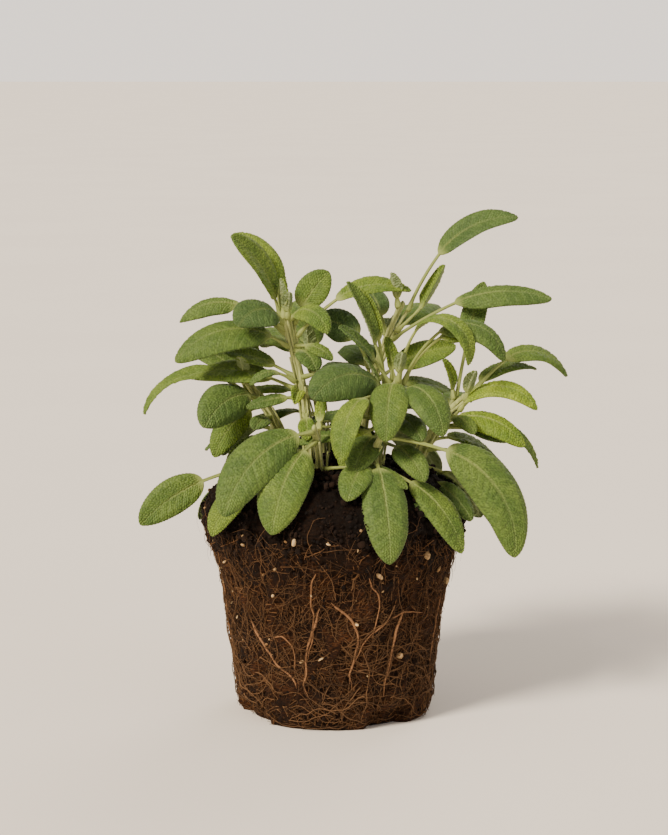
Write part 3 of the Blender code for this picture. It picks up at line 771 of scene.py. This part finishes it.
def leaf_piece(leaf, material, number, rows=150, columns=44):
    """A detailed leaf: channelled stalk, raised cells between sunken veins, and a toothed margin."""
    chance = np.random.default_rng(1000 + number)
    flat = FlatLeaf(leaf, number, rows, columns, chance)
    height = flat.lift(leaf[10] + 0.05 * chance.normal()) + flat.relief()
    top, below = flat.thickness()

    point, side, normal = frame_along(leaf, np.maximum(flat.along, 0))
    start = frame_along(leaf, np.array([0.0, 1 * MM]))[0]
    sunk = flat.along < 0
    point[sunk] += (start[1] - start[0]) / (1 * MM) * flat.along[sunk, None]
    spread = point[:, None, :] + side[:, None, :] * flat.y[..., None]
    upper = spread + normal[:, None, :] * (height + top)[..., None]
    lower = spread + normal[:, None, :] * (height - below)[..., None]
    ring = all_round(upper, lower)
    rings, sides = ring.shape[:2]
    # Leaf age, and for some leaves painted light, as a value from 0 to 1.
    youth_and_light = YOUTH_AND_LIGHT.get(leaf[0], YOUNG_TIP if leaf[0].startswith("tip_") else MIDDLE_AGE)
    youth_and_light = np.clip(youth_and_light + 0.08 * chance.normal(), 0, 1)
    values = {key: all_round(grid, grid) for key, grid in flat.paint().items()}
    values["under"] = all_round(np.zeros_like(top), np.ones_like(top))
    values["youth_and_light"] = np.full((rings, sides), youth_and_light)
    faces = tube_faces(rings, sides)[:, ::-1]
    return new_piece("sage_leaf_" + leaf[0], ring.reshape(-1, 3), faces, material, values)


# ---------------------------------------------------------------- stems


# How much slimmer a stem is than the CAD model's plain tube, whose room its leaves' stalks share.
STEM_SLIMNESS = 0.86
# How many old stalks run up beside each stem.
BUNDLE_STALKS = 5


def stem_piece(stem, material, number):
    """A squarish stem with a swelling at each pair of leaves, woody at its foot."""
    top = STEMS[stem][1][2] * MM
    heights = np.linspace(STEM_BOTTOM + 1 * MM, top + 1.5 * MM, 110)
    path = np.array([stem_point(stem, min(h, top)) + (0, 0, max(0, h - top)) for h in heights])
    sides = 20
    radii = STEM_SLIMNESS * np.array([stem_radius(stem, h) for h in heights])
    knots = 1 + 0.22 * np.exp(-(((heights - STEM_BEND_START) / (12 * MM)) % 1 - 0.5) ** 2 / 0.02)
    radii = radii * knots * np.sqrt(np.clip((top + 1.6 * MM - heights) / (1.5 * MM), 0.05, 1))
    points = tube_points(path, radii, sides)
    centre = np.repeat(path, sides, axis=0)
    turn = 2 * math.pi * np.tile(np.arange(sides), len(path)) / sides
    square = 1 + 0.07 * np.cos(4 * turn)
    bark = 1 + 0.07 * rough_noise(points * (1, 1, 0.35), 0.9 * MM, number)
    points = centre + (points - centre) * (square * bark)[:, None]
    woody = 1 - smooth(STEM_BEND_START, STEM_BEND_START + 14 * MM, points[:, 2])
    faces = tube_faces(len(path), sides)
    return new_piece("sage_stem_" + stem, points, faces, material, {"woody": woody})


def stalk_foot(leaf, chance):
    """The way a leaf's stalk runs on from its foot down the side of its stem, and merges with it."""
    stem, height, angle = leaf[1:4]
    foot = frame_along(leaf, np.array([0.0, 1 * MM]))[0]
    heading = (foot[1] - foot[0]) / MM
    end_height = max(height * MM - chance.uniform(14, 34) * MM, STEM_BEND_START - 4 * MM)
    side = compass(np.float64(angle + chance.normal(0, 14)))
    end = stem_point(stem, end_height) + side * stem_radius(stem, end_height) * 0.5
    before = stem_point(stem, 0.5 * (end_height + height * MM))
    before = before + side * (stem_radius(stem, end_height) + 0.4 * MM)
    bent = foot[0] - heading * 3 * MM
    share = np.linspace(0, 1, 16)[:, None]
    rest = 1 - share
    return rest**3 * foot[0] + 3 * rest**2 * share * bent + 3 * rest * share**2 * before + share**3 * end


def old_stalk(stem, turn, chance):
    """The way an old stalk runs up beside its stem, with its upper end a little away from it."""
    side = compass(np.float64(360 * turn / BUNDLE_STALKS + chance.normal(0, 20)))
    share = np.linspace(0, 1, 24)
    length = (STEMS[stem][1][2] * MM - STEM_BEND_START) * chance.uniform(0.6, 1.0)
    heights = STEM_BEND_START - 6 * MM + share * length
    bulge = chance.uniform(0.2, 1.2) * MM * np.sin(math.pi * share)
    away = bulge + chance.uniform(0, 5) * MM * share**3
    reach = [STEM_SLIMNESS * stem_radius(stem, height) for height in heights] + away
    return np.array([stem_point(stem, height) for height in heights]) + side * reach[:, None]


def stalk_feet(leaves, material):
    """The lower ends of all leaf stalks and the old stalks beside the stems, as one piece."""
    chance = np.random.default_rng(61)
    strands = [(stalk_foot(leaf, chance), STALK_RADIUS * np.linspace(1.12, 0.6, 16)) for leaf in leaves]
    for stem in STEMS:
        for turn in range(BUNDLE_STALKS):
            strands.append((old_stalk(stem, turn, chance), STALK_RADIUS * np.linspace(0.9, 0.5, 24)))
    many_tubes("stalk_feet", strands, 10, material, np.zeros(len(strands)))


# ---------------------------------------------------------------- root ball


# Heights where the lip begins, is at its roughest, begins to fade and ends.
LIP_START = 76 * MM
LIP_FULL = 86 * MM
LIP_FADE = 104 * MM
LIP_END = 112 * MM
DOME_TOP = 116.8 * MM
# The surface's lumps: (height, wavelength) in millimetres and the seed of each size.
LUMPS = ((1.2, 8, 11), (1.1, 4, 12), (0.9, 2.2, 13), (0.5, 1.2, 14))
# Thin roots over the whole ball: how many, the seed, the greatest length and radius in millimetres, the
# headings in degrees (0 is level, 90 is up), the heights where they start, and how proud they lie.
FINE_ROOTS = {
    "upright_roots": (230, 21, 58, 0.27, (80, 100, 260, 280), (6, 72), 0.5),
    "circling_roots": (230, 22, 80, 0.3, (0, 15, 165, 180), (3, 36), 0.8),
    "thread_roots": (760, 23, 30, 0.14, (30, 70, 110, 150), (4, 84), 0.6),
}


def ball_radius(angle, height):
    """Radius of the root ball at compass angles and heights, before its lumps."""
    radii, heights = np.array(BALL_PROFILE, float).T * MM
    radius = np.interp(height, heights, radii)
    spot = compass(angle) * 48 * MM
    spot[..., 2] = height
    radius = radius + 1.3 * MM * rough_noise(spot, 22 * MM, 5)
    lip = smooth(LIP_START, LIP_FULL, height) * (1 - smooth(LIP_FADE, LIP_END, height))
    radius = radius + 2.0 * MM * lip * rough_noise(spot, 9 * MM, 6)
    for middle, half in NOTCHES:
        off = np.abs((angle - middle + 180) % 360 - 180)
        depth = np.clip((half - off) / 5 + 0.5, 0, 1) * (1 - smooth(0.7, 1.2, height / NOTCH_HEIGHT))
        radius = radius - NOTCH_DEPTH * depth
    return radius


def on_ball(angle, height, proud=0.0):
    """Points on the ball's side, lifted off it by proud."""
    angle = np.asarray(angle, float)
    height = np.asarray(height, float)
    out = compass(angle) * (ball_radius(angle, height) + proud)[..., None]
    out[..., 2] = height
    return out


def ball_piece(material):
    """The compost: a lumpy, granular surface over the whole ball, base and dome."""
    columns = 430
    base_rows, side_rows, dome_rows = 8, 150, 26
    angle = 360 * np.arange(columns) / columns
    side_heights = np.linspace(0, LIP_END, side_rows)
    dome_heights = np.linspace(LIP_END + 0.4 * MM, DOME_TOP, dome_rows)
    heights = np.concatenate([np.zeros(base_rows), side_heights, dome_heights])
    shrink = np.concatenate([np.linspace(0.02, 0.96, base_rows), np.ones(side_rows + dome_rows)])
    grid_angle, grid_height = np.meshgrid(angle, heights)
    radius = ball_radius(grid_angle, grid_height) * shrink[:, None]
    points = compass(grid_angle) * radius[..., None]
    points[..., 2] = grid_height
    flat = points.reshape(-1, 3)
    lumpy = sum(size * rough_noise(flat, wave * MM, seed) for size, wave, seed in LUMPS) * MM
    out = flat * (1, 1, 0)
    out = out / np.maximum(np.linalg.norm(out, axis=1), 1e-6)[:, None]
    dome = smooth(100 * MM, 113 * MM, flat[:, 2])[:, None]
    push = out * (1 - dome) + np.array([0, 0, 1.0]) * dome
    standing = smooth(0.5 * MM, 3 * MM, flat[:, 2])[:, None]
    flat = flat + push * lumpy[:, None] * standing
    # Painted shade: the dips between lumps are painted darker. From 66 mm up, the ball's upper part, in the
    # leaves' shadow, is painted darker too.
    painted_shade = smooth(0.3, 2.2, -lumpy / MM)
    painted_shade = np.maximum(painted_shade, 0.85 * smooth(66 * MM, 92 * MM, flat[:, 2]))
    cap = np.array([[0, 0, 0], [0, 0, flat[-columns:, 2].mean()]])
    faces = tube_faces(len(heights), columns)[: (len(heights) - 1) * columns]
    ring = np.arange(columns)
    after = (ring + 1) % columns
    last = (len(heights) - 1) * columns
    foot = np.stack([np.full(columns, len(flat)), after, ring], axis=-1)
    head = np.stack([np.full(columns, len(flat) + 1), last + ring, last + after], axis=-1)
    halves = np.concatenate([faces[:, [0, 1, 2]], faces[:, [0, 2, 3]], foot, head])
    points = np.concatenate([flat, cap])
    values = {"painted_shade": np.concatenate([painted_shade, [0, 0]])}
    return new_piece("compost_ball", points, halves, material, values)


def wandering_root(chance, angle, height, heading, length, step, wobble):
    """A path on the ball's side that starts in a heading (0 is level, 90 is up) and wanders."""
    angles = [angle]
    heights = [height]
    for _ in range(int(length / step)):
        heading += chance.normal(0, wobble)
        across = math.degrees(step * math.cos(math.radians(heading)) / (50 * MM))
        angles.append(angles[-1] + across)
        rise = heights[-1] + step * math.sin(math.radians(heading))
        heights.append(min(max(rise, 1.2 * MM), 106 * MM))
        if rise < 5 * MM or rise > 100 * MM:
            heading = heading * 0.5
    return np.array(angles), np.array(heights)


def fine_roots(name, material):
    """Hundreds of thin roots that lie on the ball."""
    count, seed, longest, thick, headings, (lowest, highest), proud = FINE_ROOTS[name]
    chance = np.random.default_rng(seed)
    strands = []
    for _ in range(count):
        length = longest * MM * chance.uniform(0.35, 1.0)
        heading = chance.choice(headings) + chance.normal(0, 18)
        angle = chance.uniform(0, 360)
        height = chance.uniform(lowest * MM, highest * MM)
        turns = wandering_root(chance, angle, height, heading, length, 1.6 * MM, 13)
        bob = np.abs(rough_noise(np.stack([turns[0] * 0.001, turns[1]], -1), 9 * MM, seed)) * 1.4 * MM
        radius = thick * MM * chance.uniform(0.5, 1.0)
        strands.append((on_ball(*turns, proud * MM + bob), radius * np.linspace(1.0, 0.35, len(bob))))
    many_tubes(name, strands, 6, material, chance.uniform(0.05, 0.95, count))


def main_root(name, path, radius, material, number):
    """One woody root, with knuckles and a taper."""
    knots = np.array(path, float)
    spread = np.linspace(0, len(knots) - 1, 14 * len(knots))
    angle = np.interp(spread, np.arange(len(knots)), knots[:, 0])
    height = np.interp(spread, np.arange(len(knots)), knots[:, 1]) * MM
    for _ in range(8):
        angle[1:-1] = (angle[:-2] + 2 * angle[1:-1] + angle[2:]) / 4
        height[1:-1] = (height[:-2] + 2 * height[1:-1] + height[2:]) / 4
    line = np.stack([angle, height / MM], -1)
    angle = angle + 1.8 * rough_noise(line, 7, number)
    height = height + 1.1 * MM * rough_noise(line, 5, number + 3)
    centre = on_ball(angle, height, 0.8 * MM)
    ends = smooth(0, 0.12, np.linspace(0, 1, len(centre))) * smooth(0, 0.12, np.linspace(1, 0, len(centre)))
    taper = (0.25 + 0.75 * ends) * np.linspace(1.0, 0.62, len(centre))
    radii = radius * taper * (1 + 0.16 * rough_noise(line, 3, number + 1))
    points = tube_points(centre, radii, 12)
    middle = np.repeat(centre, 12, axis=0)
    points = middle + (points - middle) * (1 + 0.1 * rough_noise(points, 1.1 * MM, number + 2))[:, None]
    values = {"tone": np.full(len(points), 0.62)}
    return new_piece(name, points, tube_faces(len(centre), 12), material, values)


def lumps(name, centres, sizes, seed, material, tones, flatness=(1, 1, 1)):
    """Rough eight-cornered lumps, each with a turn and shape of its own."""
    chance = np.random.default_rng(seed)
    cube = np.array([[x, y, z] for x in (-1, 1) for y in (-1, 1) for z in (-1, 1)], float)
    quads = np.array([[0, 1, 3, 2], [4, 6, 7, 5], [0, 4, 5, 1], [2, 3, 7, 6], [0, 2, 6, 4], [1, 5, 7, 3]])
    points = []
    for centre, size in zip(centres, sizes):
        turn, _ = np.linalg.qr(chance.normal(size=(3, 3)))
        if np.linalg.det(turn) < 0:
            turn[0] = -turn[0]
        shape = cube * (0.25 + 1.25 * chance.random((8, 3))) * flatness * size
        points.append(shape @ turn + centre)
    faces = np.concatenate([quads + 8 * i for i in range(len(points))])
    values = {"tone": np.repeat(tones, 8)}
    obj = new_piece(name, np.concatenate(points), faces, material, values)
    rounded = obj.modifiers.new("rounded", "SUBSURF")
    rounded.levels = 1
    rounded.render_levels = 1
    return obj


def loose_matter(crumb, chip, fibre):
    """Crumbs at the lip and dome, pale chips in the sides, and short fibres all over."""
    chance = np.random.default_rng(77)
    count = 3800
    angle = chance.uniform(0, 360, count)
    height = np.where(chance.random(count) < 0.6, chance.normal(92, 8, count), chance.uniform(4, 110, count))
    height = np.clip(height, 3, 111) * MM
    size = np.clip(chance.lognormal(-0.4, 0.55, count), 0.25, 2.2) * MM
    size = size * np.where(height > LIP_START, 1.0, 0.6)
    lumps("compost_crumbs", on_ball(angle, height, 0.5 * MM), size, 78, crumb, chance.uniform(0, 1, count))

    count = 1500
    reach = 46 * MM * np.sqrt(chance.random(count))
    spot = compass(chance.uniform(0, 360, count)) * reach[:, None]
    spot[:, 2] = np.interp(reach, [0, 28 * MM, 46 * MM], [118 * MM, 117 * MM, 113 * MM])
    size = np.clip(chance.lognormal(0, 0.45, count), 0.4, 3) * MM
    lumps("dome_crumbs", spot, size, 79, crumb, chance.uniform(0, 1, count))

    count = 120
    angle = chance.uniform(0, 360, count)
    height = np.clip(chance.normal(66, 24, count), 6, 104) * MM
    size = np.clip(chance.lognormal(0.12, 0.5, count), 0.4, 2.8) * MM
    tones = chance.uniform(0, 1, count)
    lumps("pale_chips", on_ball(angle, height, 0.7 * MM), size, 80, chip, tones, (1, 0.7, 0.4))

    short_fibres("compost_fibres", 4300, 82, fibre, (3 * MM, 90 * MM), (0.07 * MM, 0.19 * MM))
    short_fibres("compost_shreds", 4300, 83, fibre, (1 * MM, 74 * MM), (0.05 * MM, 0.13 * MM))


def short_fibres(name, count, seed, material, heights, thickness):
    """Short bent fibres that lie on the compost or stand a little off it."""
    chance = np.random.default_rng(seed)
    strands = []
    for _ in range(count):
        angle = chance.uniform(0, 360)
        start = on_ball(angle, chance.uniform(*heights), chance.uniform(0.1, 0.8) * MM)
        out = compass(np.float64(angle))
        across = np.array([-out[1], out[0], 0])
        heading = chance.uniform(0, math.pi)
        away = across * math.cos(heading) + np.array([0, 0, 1]) * math.sin(heading)
        away = away + out * chance.normal(0.08, 0.22)
        bend = chance.normal(0, 0.25) * np.cross(out, away) + out * chance.normal(-0.05, 0.15)
        share = np.linspace(-0.5, 0.5, 6)[:, None]
        length = np.clip(chance.lognormal(1.35, 0.5), 1.5, 13) * MM
        path = start + away * share * length + bend * (share**2) * length
        path[:, 2] = np.clip(path[:, 2], 0.3 * MM, None)
        strands.append((path, np.full(6, chance.uniform(*thickness))))
    many_tubes(name, strands, 4, material, chance.uniform(0, 1, count))


def lip_hairs(material):
    """Hair roots that hang loose from the crumbly lip."""
    chance = np.random.default_rng(91)
    strands = []
    count = 170
    for _ in range(count):
        angle = chance.uniform(0, 360)
        height = chance.uniform(72, 100) * MM
        out = compass(np.float64(angle))
        across = np.array([-out[1], out[0], 0])
        start = on_ball(angle, height, 0)
        share = np.linspace(0, 1, 9)[:, None]
        length = chance.uniform(4, 13) * MM
        drop = np.array([0, 0, -1.0]) * share**1.4
        swing = out * (0.35 * np.sin(share * 2.4)) * chance.uniform(0.2, 1)
        swing = swing + across * chance.normal(0, 0.3) * share
        path = start + (drop + swing) * length
        path = path + 0.5 * MM * np.sin(share * chance.uniform(4, 9) + chance.uniform(0, 6)) * across
        strands.append((path, np.linspace(1, 0.4, 9) * chance.uniform(0.07, 0.17) * MM))
    many_tubes("lip_hairs", strands, 4, material, chance.uniform(0, 0.7, count))


# ---------------------------------------------------------------- studio


# How strongly the background lights the plant, and how bright it looks behind the floor.
SKY_LIGHT = 0.62
SKY_SEEN = 1.7
# Distant lamps: where each shines from, its width on the sky in degrees, its strength and its colour.
LIGHTS = {
    "key": ((-0.75, -0.8, 0.95), 16, 5.6, "#fff1de"),
    "fill": ((0.9, -0.7, 0.45), 50, 0.6, "#f2f4ff"),
    "rim": ((0.4, 0.9, 0.8), 30, 1.0, "#fff6ea"),
}


def studio(material):
    """A pale floor that reaches far enough to meet a background of nearly its own brightness."""
    mesh = bpy.data.meshes.new("studio_floor")
    half = 40.0
    corners = [(-half, -half, 0), (half, -half, 0), (half, half, 0), (-half, half, 0)]
    mesh.from_pydata(corners, [], [(0, 1, 2, 3)])
    mesh.materials.append(material)
    floor = bpy.data.objects.new("studio_floor", mesh)
    bpy.context.scene.collection.objects.link(floor)
    world = bpy.context.scene.world or bpy.data.worlds.new("studio")
    bpy.context.scene.world = world
    world.use_nodes = True
    nodes = world.node_tree.nodes
    seen = nodes.new("ShaderNodeLightPath")
    strength = nodes.new("ShaderNodeMath")
    strength.operation = "MULTIPLY_ADD"
    strength.inputs[1].default_value = SKY_SEEN - SKY_LIGHT
    strength.inputs[2].default_value = SKY_LIGHT
    world.node_tree.links.new(seen.outputs["Is Camera Ray"], strength.inputs[0])
    world.node_tree.links.new(strength.outputs[0], nodes["Background"].inputs["Strength"])
    nodes["Background"].inputs["Color"].default_value = linear("#f7ebdf")


def soft_light(name):
    """A distant lamp that shines from its place towards the plant."""
    place, softness, strength, colour = LIGHTS[name]
    data = bpy.data.lights.new(name, "SUN")
    data.angle = math.radians(softness)
    data.energy = strength
    data.color = linear(colour)[:3]
    light = bpy.data.objects.new(name, data)
    light.location = place
    light.rotation_euler = (Vector((0, 0, 0.12)) - Vector(place)).to_track_quat("-Z", "Y").to_euler()
    bpy.context.scene.collection.objects.link(light)


def camera():
    """Looks along +Y from a little above, at the middle of the plant."""
    distance = 1.1
    elevation = math.radians(8.5)
    target = Vector((0, 0, 0.138))
    data = bpy.data.cameras.new("camera")
    data.lens = 102
    data.sensor_width = 36
    data.clip_start = 0.01
    made = bpy.data.objects.new("camera", data)
    made.location = target + Vector((0, -math.cos(elevation), math.sin(elevation))) * distance
    made.rotation_euler = (target - made.location).to_track_quat("-Z", "Y").to_euler()
    bpy.context.scene.collection.objects.link(made)
    bpy.context.scene.camera = made


# ---------------------------------------------------------------- the model


def build_leaves(stalk_material):
    """Every leaf, in the same order as its row."""
    material = leaf_material()
    grown = [as_packed(leaf) for leaf in LEAVES]
    for number, leaf in enumerate(grown):
        piece = leaf_piece(leaf, material, number)
        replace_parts(piece, "leaf_" + leaf[0])
    for number, leaf in enumerate(MORE_LEAVES):
        leaf_piece(leaf, material, 200 + number, rows=90, columns=30)
    stalk_feet((*grown, *MORE_LEAVES), stalk_material)


def build_stems(material):
    for number, stem in enumerate(STEMS):
        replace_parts(stem_piece(stem, material, 300 + number), "stem_" + stem)


def build_ball():
    """The compost ball with its roots, crumbs, chips and fibres."""
    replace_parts(ball_piece(compost_material()), "root_ball")
    bark = toned_material("main_root_bark", "#472d1c", "#966d4a", 0.75, 900, 0.0003)
    thread = toned_material("fine_root_bark", "#1f130a", "#6b4e33", 0.85, 1400, 0.0002)
    for number, (root, path) in enumerate(ROOTS.items()):
        piece = main_root("bark_root_" + root, path, ROOT_THICKNESS, bark, 400 + 5 * number)
        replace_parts(piece, "root_" + root)
    for number, path in enumerate(SIDE_ROOTS):
        main_root(f"side_root_{number}", path, SIDE_ROOT_THICKNESS, bark, 460 + 5 * number)
    for name in FINE_ROOTS:
        fine_roots(name, thread)
    crumb = toned_material("crumb", "#060302", "#21140b", 0.95, 900, 0.0006)
    chip = toned_material("pale_chip", "#7a5a38", "#cdb083", 0.85, 900, 0.0003)
    fibre = toned_material("fibre", "#140b06", "#6f4e30", 0.9, 1500, 0.0002)
    loose_matter(crumb, chip, fibre)
    lip_hairs(thread)


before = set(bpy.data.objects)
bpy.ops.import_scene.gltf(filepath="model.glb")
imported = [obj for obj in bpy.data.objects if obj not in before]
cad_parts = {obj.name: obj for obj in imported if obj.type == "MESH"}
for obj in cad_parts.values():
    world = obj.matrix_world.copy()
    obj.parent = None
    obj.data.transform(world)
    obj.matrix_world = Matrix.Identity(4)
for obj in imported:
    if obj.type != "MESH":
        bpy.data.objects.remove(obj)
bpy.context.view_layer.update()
build_ball()
green_wood = stem_material()
build_stems(green_wood)
build_leaves(green_wood)
studio(floor_material())
for light in LIGHTS:
    soft_light(light)
camera()
